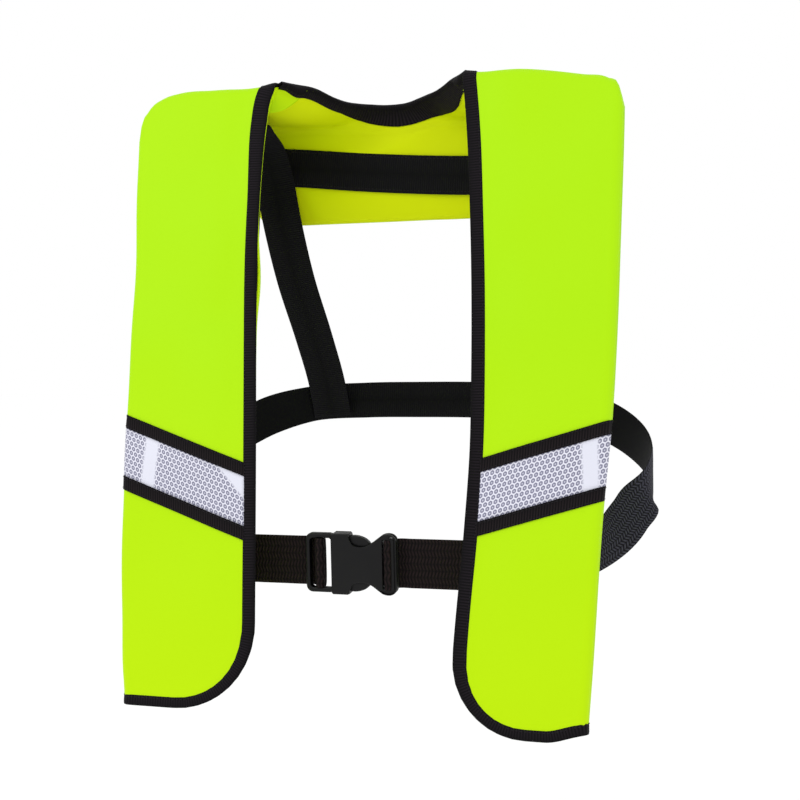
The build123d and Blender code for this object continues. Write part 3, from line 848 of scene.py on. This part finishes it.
# ---- yoke
BEND = 26                 # radius of the yoke's bend over the shoulders to the back
ROOF_END = 71 - SEAM_Y
BEND_END = ROOF_END + BEND * pi / 2
HALF_WIDTH = [(0, 219), (40, 209), (BEND_END, 176), (215, 150)]
NECK = [(-71, 8), (-66, 15), (-50, 40), (-22, 66), (0, 72), (22, 66), (50, 40), (66, 15), (71, 8)]
NECK_FRONT = [(86.5, -18), (79, -4)]   # the neckline goes on over each lobe's fold


def roof_height(x, y):
    """Height of the yoke's top, which joins both lobes' folds."""
    neck = np.interp(y, [-18, -4, 8, 15, 40, 66, 72], [86.5, 79, 71, 66, 50, 22, 0])
    width = np.interp(y - SEAM_Y, *np.array(HALF_WIDTH).T)
    width = width + (224 - width) * ease((y - SEAM_Y) / 50)
    share = np.clip((np.abs(x) - neck) / (width - neck), 0, 1)
    heights = {}
    for side, lobe in LOBES.items():
        inner = curve(lobe["inner"], 20.0)
        heights[side] = curve(lobe["ridge"], inner + share * (curve(lobe["outer"], 0.0) - inner))
    toward_left = ease((x + 60) / 120)
    height = heights["right"] + (heights["left"] - heights["right"]) * toward_left
    height = height - 9 * ease((y - SEAM_Y) / 45) * (1 - share) ** 2
    return height + 6 * np.exp(-(((x - 40) / 24) ** 2)) * (1 - share) ** 2 * ease((y - SEAM_Y) / 30)


def yoke_point(x, along):
    """The yoke's outer face: x across, and a distance back from the seam and down the back."""
    y = SEAM_Y + np.minimum(along, ROOF_END)
    top = roof_height(x, y)
    turn = np.clip((along - ROOF_END) / BEND, 0, pi / 2)
    drop = np.maximum(along - BEND_END, 0)
    return np.stack([x + 0 * along, y + BEND * np.sin(turn), top - BEND * (1 - np.cos(turn)) - drop], -1)


def yoke_normal(x, along):
    """The yoke's outward normals."""
    back = yoke_point(x, along + 0.5) - yoke_point(x, along - 0.5)
    over = yoke_point(x + 0.5, along) - yoke_point(x - 0.5, along)
    return unit(np.cross(over, back))


def yoke_line(points, spacing):
    """A smooth line on the yoke from x and y, as x and distance back from the seam."""
    return smooth_path([(x, y - SEAM_Y, 0) for x, y in points], spacing)[:, :2]


def edge_distance(x, along):
    """Distance from the neckline, the sides and the foot of the yoke, whichever is nearest."""
    neck = yoke_line(NECK, 3)
    place = combine(x, along)
    neck_distance = np.linalg.norm(place[..., None, :] - neck, axis=-1).min(-1)
    side = np.interp(along, *np.array(HALF_WIDTH).T) - np.abs(x)
    foot = BEND_END + 70 + roof_height(x, np.full_like(x, 71.0)) - along
    return np.minimum(np.minimum(neck_distance, side), foot)


def yoke_thickness(x, along, thick=17.5):
    """How thick the yoke is: thin at its rim and full inside."""
    return SEAM_THICK + (thick - SEAM_THICK) * np.sqrt(ease(edge_distance(x, along) / 34))


def yoke_columns(rows=40):
    """Columns from the seam or the neckline back over the roof and down to the yoke's foot."""
    neck = yoke_line(NECK, 3.6)
    outside = np.linspace(71, 219, 30)[1:]
    start_x = np.concatenate([-outside[::-1], neck[:, 0], outside])
    start_p = np.concatenate([0 * outside, neck[:, 1], 0 * outside])
    widths = np.array(HALF_WIDTH).T
    share = start_x / np.interp(start_p, *widths)
    foot_x = share * 151
    corner = np.clip(np.abs(foot_x) - 131, 0, 19.9)
    end_p = BEND_END + 69 + roof_height(foot_x, np.full_like(foot_x, 71.0)) - (20 - np.sqrt(400 - corner**2))
    step = np.linspace(0, 1, rows)[:, None]
    along = start_p + step * (end_p - start_p)
    x = share * np.interp(along, *widths)
    return x, along


def build_yoke():
    """The yoke over the shoulders and down the back, with the folded collar inside."""
    x, along = yoke_columns()
    outer = yoke_point(x, along)
    normal = yoke_normal(x, along)
    thickness = yoke_thickness(x, along)[..., None]
    crease_in = 2.2 * np.exp(-(((x + 20) * 0.3 + along - 118) / 13) ** 2)[..., None]
    inner = outer - normal * (thickness + crease_in * ease((thickness - 8) / 8))
    uv = np.stack([x, along], -1)
    cover = shell("yoke_cloth", outer, outer - normal * CLOTH, uv, LIME)
    lining = shell("yoke_inside", inner + normal * CLOTH, inner, uv, YOKE_LINING_SHADED)
    inset = along + (along.max(0) - along.min(0)) * (0.5 - np.linspace(0, 1, len(along)))[:, None] * 0.08
    collar_x = x * 0.955
    collar_normal = yoke_normal(collar_x, inset)
    middle = yoke_thickness(collar_x, inset)[..., None] / 2
    core = yoke_point(collar_x, inset) - collar_normal * middle
    half = np.maximum((middle - 2.2) * ease(edge_distance(collar_x, inset) / 16)[..., None], 0.1)
    collar = shell("collar_folded", core + collar_normal * half, core - collar_normal * half, uv, BLADDER)
    belongs(cover, "harness", "yoke_cover", slot="cover_fabric")
    belongs(lining, "harness", "yoke_lining", slot="lining_fabric")
    belongs(collar, "harness", "bladder_collar", slot="bladder_fabric")
    neck = build_neck_binding()


def build_neck_binding():
    """Binding that wraps the yoke's edge round the neckline."""
    whole = [(-px, py) for px, py in NECK_FRONT] + NECK + NECK_FRONT[::-1]
    path = yoke_line(whole, 3)
    along = unit(np.gradient(path, axis=0))
    inward = np.stack([-along[:, 1], along[:, 0]], -1)
    inward = inward * np.sign((inward * (path - np.array([0, -40]))).sum(-1, keepdims=True))
    reach = [(12, 1), (9, 1), (6, 1), (3, 1), (0, 1), (-1.8, 0.5),
             (0, 0), (3, 0), (6, 0), (9, 0), (12, 0), (14, 0)]
    under_wide = np.interp(path[:, 0], [-85, -45, -22, 0, 30, 58, 80], [0.4, 0.48, 1.15, 1.5, 1.4, 1.15, 0.5])
    past_seam = ease((path[:, 1] + 20) / 20)[:, None]
    outside, inside = [], []
    for distance, upper in reach:
        stretch = distance * (under_wide if upper == 0 else 1)
        x = path[:, 0] + inward[:, 0] * stretch
        p = path[:, 1] + inward[:, 1] * stretch
        normal = yoke_normal(x, p)
        top = yoke_point(x, p)
        thickness = SEAM_THICK + (yoke_thickness(x, p) - SEAM_THICK)[:, None] * past_seam
        skin = top - normal * thickness * (1 - upper)
        away = normal * (2 * upper - 1)
        if upper == 0.5:
            away = np.stack([-inward[:, 0], -inward[:, 1], 0 * inward[:, 0]], -1)
        outside.append(skin + away * 1.3)
        inside.append(skin - away * 0.5)
    outside = np.stack(outside, 1)
    inside = np.stack(inside, 1)
    reach_u = distances(outside[:, 5])
    across = np.array([-distance if upper == 1 else distance for distance, upper in reach], float)
    uv = combine(reach_u[:, None], across[None, :])
    neck = shell("neckline_binding", outside, inside, uv, BINDING_TAPE)
    belongs(neck, "harness", "neck_binding", slot="binding")
    return neck


# ---- webbing
WEBBING = 42
SHOULDER_STRAP_X = 134
BUCKLE = (-27.5, -81, -409)


def flat_outward(path, middle=(0, 40)):
    """Level normals of a strap that stands on edge round the body."""
    along = unit(np.gradient(path, axis=0))
    level = np.stack([along[:, 1], -along[:, 0], 0 * along[:, 0]], -1)
    away = path - np.array([middle[0], middle[1], 0])
    return unit(level) * np.sign((level * away).sum(-1, keepdims=True))


def add_strap(name, node, path, normal, material, width=WEBBING, thick=2.0, body="harness"):
    """Webbing along a path, in place of a CAD strap."""
    belongs(strip(name, path, normal, width, thick, material), body, node, slot="webbing")


def build_belt():
    """The waist belt, its two front ends through the buckle, and its loops."""
    whole = smooth_path([(-104, -72, -409), (-130, -71, -407), (-170, -60, -400), (-207, -32, -384),
                         (-231, 8, -366), (-240, 48, -350), (-230, 92, -333), (-205, 128, -317),
                         (-170, 149, -298), (-127, 157, -286.5), (-60, 157.5, -282), (0, 157.5, -281.5),
                         (60, 157.5, -282), (127, 157, -285.5), (170, 148, -293), (206, 127, -305),
                         (235, 88, -322), (245, 52, -334), (246, 26, -342), (242, 8, -354),
                         (229, 0, -373), (213, -8, -393), (192, -24, -405), (160, -52, -410),
                         (104, -72, -409)])
    wide = 38.5 + 4 * ease((np.abs(whole[:, 0]) - 115) / 60)
    face = flat_outward(whole)
    back_start, back_end = np.flatnonzero((np.abs(whole[:, 0]) < 127) & (whole[:, 1] > 100))[[0, -1]]
    for name, node, part, material in (
        ("belt_side_webbing_right", "belt_side_right", slice(0, back_start + 1), SIDE_WEBBING),
        ("belt_side_webbing_left", "belt_side_left", slice(back_end, None), SIDE_WEBBING),
        ("belt_back_webbing", "belt_back", slice(back_start, back_end + 1), BACK_WEBBING),
    ):
        add_strap(name, node, whole[part], face[part], material, wide[part])
    for name, node, body, line in (
        ("plug_webbing", "plug_strap", "buckle_plug",
         [(-152, -75), (-100, -75), (-60, -75), (-47, -75.3), (-43.4, -78), (-42.8, -83), (-41.5, -86),
          (-39.5, -86.4), (-37.4, -86), (-36.2, -83), (-35.8, -78), (-36.4, -75.5)]),
        ("housing_webbing", "housing_strap", "harness",
         [(152, -75), (100, -75), (44, -75), (31, -75.3), (27.4, -78), (26.8, -83), (25.5, -86),
          (23.5, -86.4), (21.5, -86), (20.2, -83), (19.8, -78), (20.4, -75.5)]),
    ):
        path = smooth_path([(x, y, BUCKLE[2]) for x, y in line], 1.5)
        add_strap(name, node, path, flat_outward(path, (0, 300)), FRONT_WEBBING, 44, 1.8, body)
    for side, sign in (("left", 1), ("right", -1)):
        ring = [(-79, -409), (-79, -389), (-77, -386), (-73.5, -385.5), (-69, -386), (-67.5, -389),
                (-67.5, -409), (-67.5, -429), (-69, -432), (-73.5, -432.5), (-77, -432), (-79, -429),
                (-79, -410)]
        path = smooth_path([(sign * 116.5, y, z) for y, z in ring], 2)
        away = path - np.array([sign * 116.5, -73.2, -409])
        add_strap(f"belt_keeper_{side}", f"belt_loop_{side}", path, unit(away), ELASTIC, 20, 1.4)


def build_harness():
    """The back straps, the shoulder straps and the webbing across the yoke."""
    for side, sign, top, low in (("right", -1, 135, 99), ("left", 1, 128, 99)):
        path = smooth_path([(sign * top, 36, -12), (sign * (top - 2), 58, -24), (sign * (top - 5), 70, -48),
                            (sign * (top - 11), 75, -92), (sign * (top - 17), 95, -150),
                            (sign * (low + 9), 121, -212), (sign * (low + 3), 143, -262),
                            (sign * low, 153.5, -300)])
        add_strap(f"back_webbing_{side}", f"back_strap_{side}", path, (0, 1, 0.3), BACK_WEBBING)
        line = [(34, -12), (16, -5), (3, -16), (-7, -60), (-36, -205), (-67, -352)]
        path = smooth_path([(sign * SHOULDER_STRAP_X, y, z) for y, z in line])
        add_strap(f"shoulder_webbing_{side}", f"shoulder_strap_{side}", path, (0, -1, 0), BACK_WEBBING)
    path = smooth_path([(-134, 77, -36), (-112, 77.2, -38), (-40, 77.4, -46), (40, 77.4, -53),
                        (134, 77, -58)], 6)
    add_strap("yoke_cross_webbing", "yoke_webbing", path, FORWARD, BACK_WEBBING, width=38)
    rows = [beside(path, FORWARD, shift, 1.0) for shift in (-16, 16)]
    stitches = stitch_rows("yoke_webbing_stitches", rows)
    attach(stitches, "harness")


# ---- buckle
def both_halves(upper):
    """A whole outline from its upper half."""
    return upper + [(x, -z) for x, z in reversed(upper)]


def rounded(points, spacing=1.0):
    """An outline smoothed through a few points."""
    path = smooth_path([(x, z, 0) for x, z in points], spacing)
    return [(point[0], point[1]) for point in path]


def set_in_buckle(piece):
    """Moves a plate drawn round the buckle's mouth to its place."""
    piece.data.transform(Matrix.Translation(Vector(BUCKLE) * MM))
    return piece


def ring_outline(x0, x1, half, corner):
    """A rectangle with round corners, as a list of x and z."""
    found = []
    for cx, cz, start in ((x1 - corner, half - corner, 0), (x0 + corner, half - corner, 90),
                          (x0 + corner, -half + corner, 180), (x1 - corner, -half + corner, 270)):
        for step in range(6):
            angle = radians(start + step * 18)
            found.append((cx + corner * cos(angle), cz + corner * sin(angle)))
    return found


def build_buckle():
    """Side-release buckle: housing, plug and two squeeze arms."""
    waist = rounded([(16.2, 26), (17.6, 21), (20.4, 17.2), (25, 15.8), (30, 16), (36, 18.6), (41.5, 22.8),
                     (46.5, 26.2), (50.5, 27), (54.5, 26.4), (57.6, 24), (59, 20.5)])
    outline = both_halves([(0, 25.6), (1.4, 27), (15, 27)] + waist)
    slots = [ring_outline(46.2, 48.6, 21.8, 1.1), ring_outline(53.2, 55.6, 21.8, 1.1)]
    hole = [(54.0 + 1.7 * cos(radians(t)), 23.9 + 1.1 * sin(radians(t))) for t in range(0, 360, 45)]
    parts = []
    for depth in (-5.9, 5.9):
        face = plate("buckle_face", [outline, *slots, hole], 3.2, 0.9, PLASTIC)
        for vertex in face.data.vertices:
            back = ease((vertex.co.x / MM - 20) / 26)
            vertex.co.y = vertex.co.y + depth * MM * (1 - 0.5 * float(back))
        parts.append(set_in_buckle(face))
    cross = both_halves([(38, 17), (42, 22), (46.5, 25.4), (50.5, 26.2), (54.5, 25.6), (57, 23.2),
                         (58.4, 20)])
    parts.append(set_in_buckle(plate("buckle_core", [cross, *slots, hole], 6.5, 0.5, PLASTIC)))
    for sign in (-1, 1):
        rail = ring_outline(0.6, 16.4, 1.8, 0.8)
        rail = [(x, z + sign * 25) for x, z in rail]
        parts.append(set_in_buckle(plate("buckle_rail", [rail], 12, 0.8, PLASTIC)))
    housing = crease(join("buckle_body", parts))
    frame_ring = ring_outline(-24.5, 3, 26.5, 6)
    gap = ring_outline(-20.5, -0.6, 22.1, 3)
    tongue = ring_outline(-1, 28, 4, 2)
    bar = ring_outline(-14.2, -9.8, 23.4, 1)
    parts = [
        set_in_buckle(plate("plug_ring", [frame_ring, gap], 7.5, 1.4, PLASTIC)),
        set_in_buckle(plate("plug_tongue", [tongue], 7.0, 0.6, PLASTIC)),
        set_in_buckle(plate("plug_bar", [bar], 6.0, 1.0, PLASTIC)),
    ]
    plug = crease(join("buckle_plug_frame", parts))
    for name, sign in (("upper", 1), ("lower", -1)):
        shape = rounded([(1, 20.4), (9, 22), (15, 24.2), (20, 24.9), (26, 24), (32, 21), (34.5, 18),
                         (33.5, 14.6), (28, 13.8), (20, 14.6), (10, 16.2), (1, 17)], 1.5)
        shape = [(x, sign * z) for x, z in shape]
        arm = crease(set_in_buckle(plate(f"squeeze_arm_{name}", [shape], 7.4, 1.2, PLASTIC)))
        belongs(arm, f"latch_{name}", f"latch_arm_{name}", slot="buckle_plastic")
    belongs(housing, "harness", "buckle_housing", slot="buckle_plastic")
    belongs(plug, "buckle_plug", "buckle_plug", slot="buckle_plastic")


# ---- small fittings inside the lobes
def build_fittings():
    """Finishes for what the lobes hold, with the pull tab and the whistle's loop."""
    for node, name, color, roughness, specular, metallic in (
        ("inflator_body", "inflator_plastic", (236, 190, 30), 0.4, 0.5, 0.0),
        ("inflator_lever", "lever_plastic", (200, 36, 30), 0.4, 0.5, 0.0),
        ("safety_clip", "clip_plastic", (60, 170, 70), 0.4, 0.5, 0.0),
        ("inflator_nut", "nut_metal", (205, 170, 95), 0.3, 0.5, 1.0),
        ("co2_cylinder", "cylinder_steel", (190, 192, 196), 0.32, 0.5, 1.0),
        ("cylinder_gasket", "gasket_rubber", (24, 24, 25), 0.85, 0.3, 0.0),
        ("oral_tube", "tube_rubber", (38, 38, 40), 0.6, 0.3, 0.0),
        ("oral_valve", "valve_plastic", (210, 60, 40), 0.4, 0.5, 0.0),
        ("oral_cap", "cap_plastic", (30, 30, 32), 0.45, 0.5, 0.0),
        ("whistle", "whistle_plastic", (245, 130, 25), 0.35, 0.5, 0.0),
    ):
        material = moulded(name, rgb(*color), roughness, specular, metallic)
        for place in bpy.data.objects[node].material_slots:
            place.material = material
    low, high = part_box("pull_tab")
    middle = (np.array(low) + np.array(high)) / 2 / MM
    path = [middle + np.array([0, step * 0.21, step]) for step in np.linspace(5, -5, 9)]
    tab = strip("pull_tab_webbing", path, FORWARD, 12, 2.0, RED_WEBBING)
    belongs(tab, "lever", "pull_tab", slot="pull_webbing")
    ring = [(x + 156, -382, depth + 15.5) for x, depth in
            ((0, -5.6), (7.5, -5.6), (9.9, -4.8), (10.1, 0), (9.9, 4.8), (7.5, 5.6), (0, 5.6), (-7.5, 5.6),
             (-9.9, 4.8), (-10.1, 0), (-9.9, -4.8), (-7.5, -5.6), (-1, -5.6))]
    path = smooth_path([lobe_point(*place) for place in ring], 1.5)
    away = unit(path - lobe_point(156, -382, 15.5))
    loop = strip("whistle_elastic", path, away, 16, 1.1, ELASTIC)
    belongs(loop, "harness", "whistle_loop", slot="loop_elastic")


# ---- stage
def build_stage():
    """Floor, soft light and camera."""
    floor_material = start_material("studio_floor", (1, 1, 1, 1), 0.9, 0.0)[0]
    bpy.ops.mesh.primitive_plane_add(size=14, location=(0, 1.5, -0.85))
    floor = bpy.context.object
    floor.name = "studio_floor"
    floor.data.materials.append(floor_material)
    world = bpy.data.worlds.new("studio")
    world.use_nodes = True
    world.node_tree.nodes["Background"].inputs[0].default_value = (1, 1, 1, 1)
    world.node_tree.nodes["Background"].inputs[1].default_value = 1.0
    bpy.context.scene.world = world
    for name, place, energy, size in (
        ("key_light", (-0.9, -1.5, 0.9), 9, 1.2),
        ("side_light", (1.6, -0.6, 0.3), 2, 1.0),
    ):
        lamp = bpy.data.lights.new(name, "AREA")
        lamp.energy = energy
        lamp.size = size
        light = add_object(name, lamp)
        light.location = place
        light.rotation_euler = (Vector((0, 0, -0.2)) - Vector(place)).to_track_quat("-Z", "Y").to_euler()
    lens = bpy.data.cameras.new("camera")
    lens.lens = 48.6
    lens.sensor_width = 36
    camera = add_object("camera", lens)
    turn, tilt, roll = radians(14.1), radians(4.0), radians(-1.15)
    back = Vector((sin(turn) * cos(tilt), -cos(turn) * cos(tilt), sin(tilt)))
    level = Vector((cos(turn), sin(turn), 0))
    upright = back.cross(level)
    right = level * cos(roll) + upright * sin(roll)
    up = upright * cos(roll) - level * sin(roll)
    place = Matrix((right, up, back)).transposed().to_4x4()
    place.translation = Vector((0.263, -0.9829, -0.1998))
    camera.matrix_world = place
    bpy.context.scene.camera = camera
    bpy.context.scene.view_settings.view_transform = "Standard"


build_lobe("right")
build_lobe("left")
build_yoke()
build_belt()
build_harness()
build_buckle()
build_fittings()
build_stage()
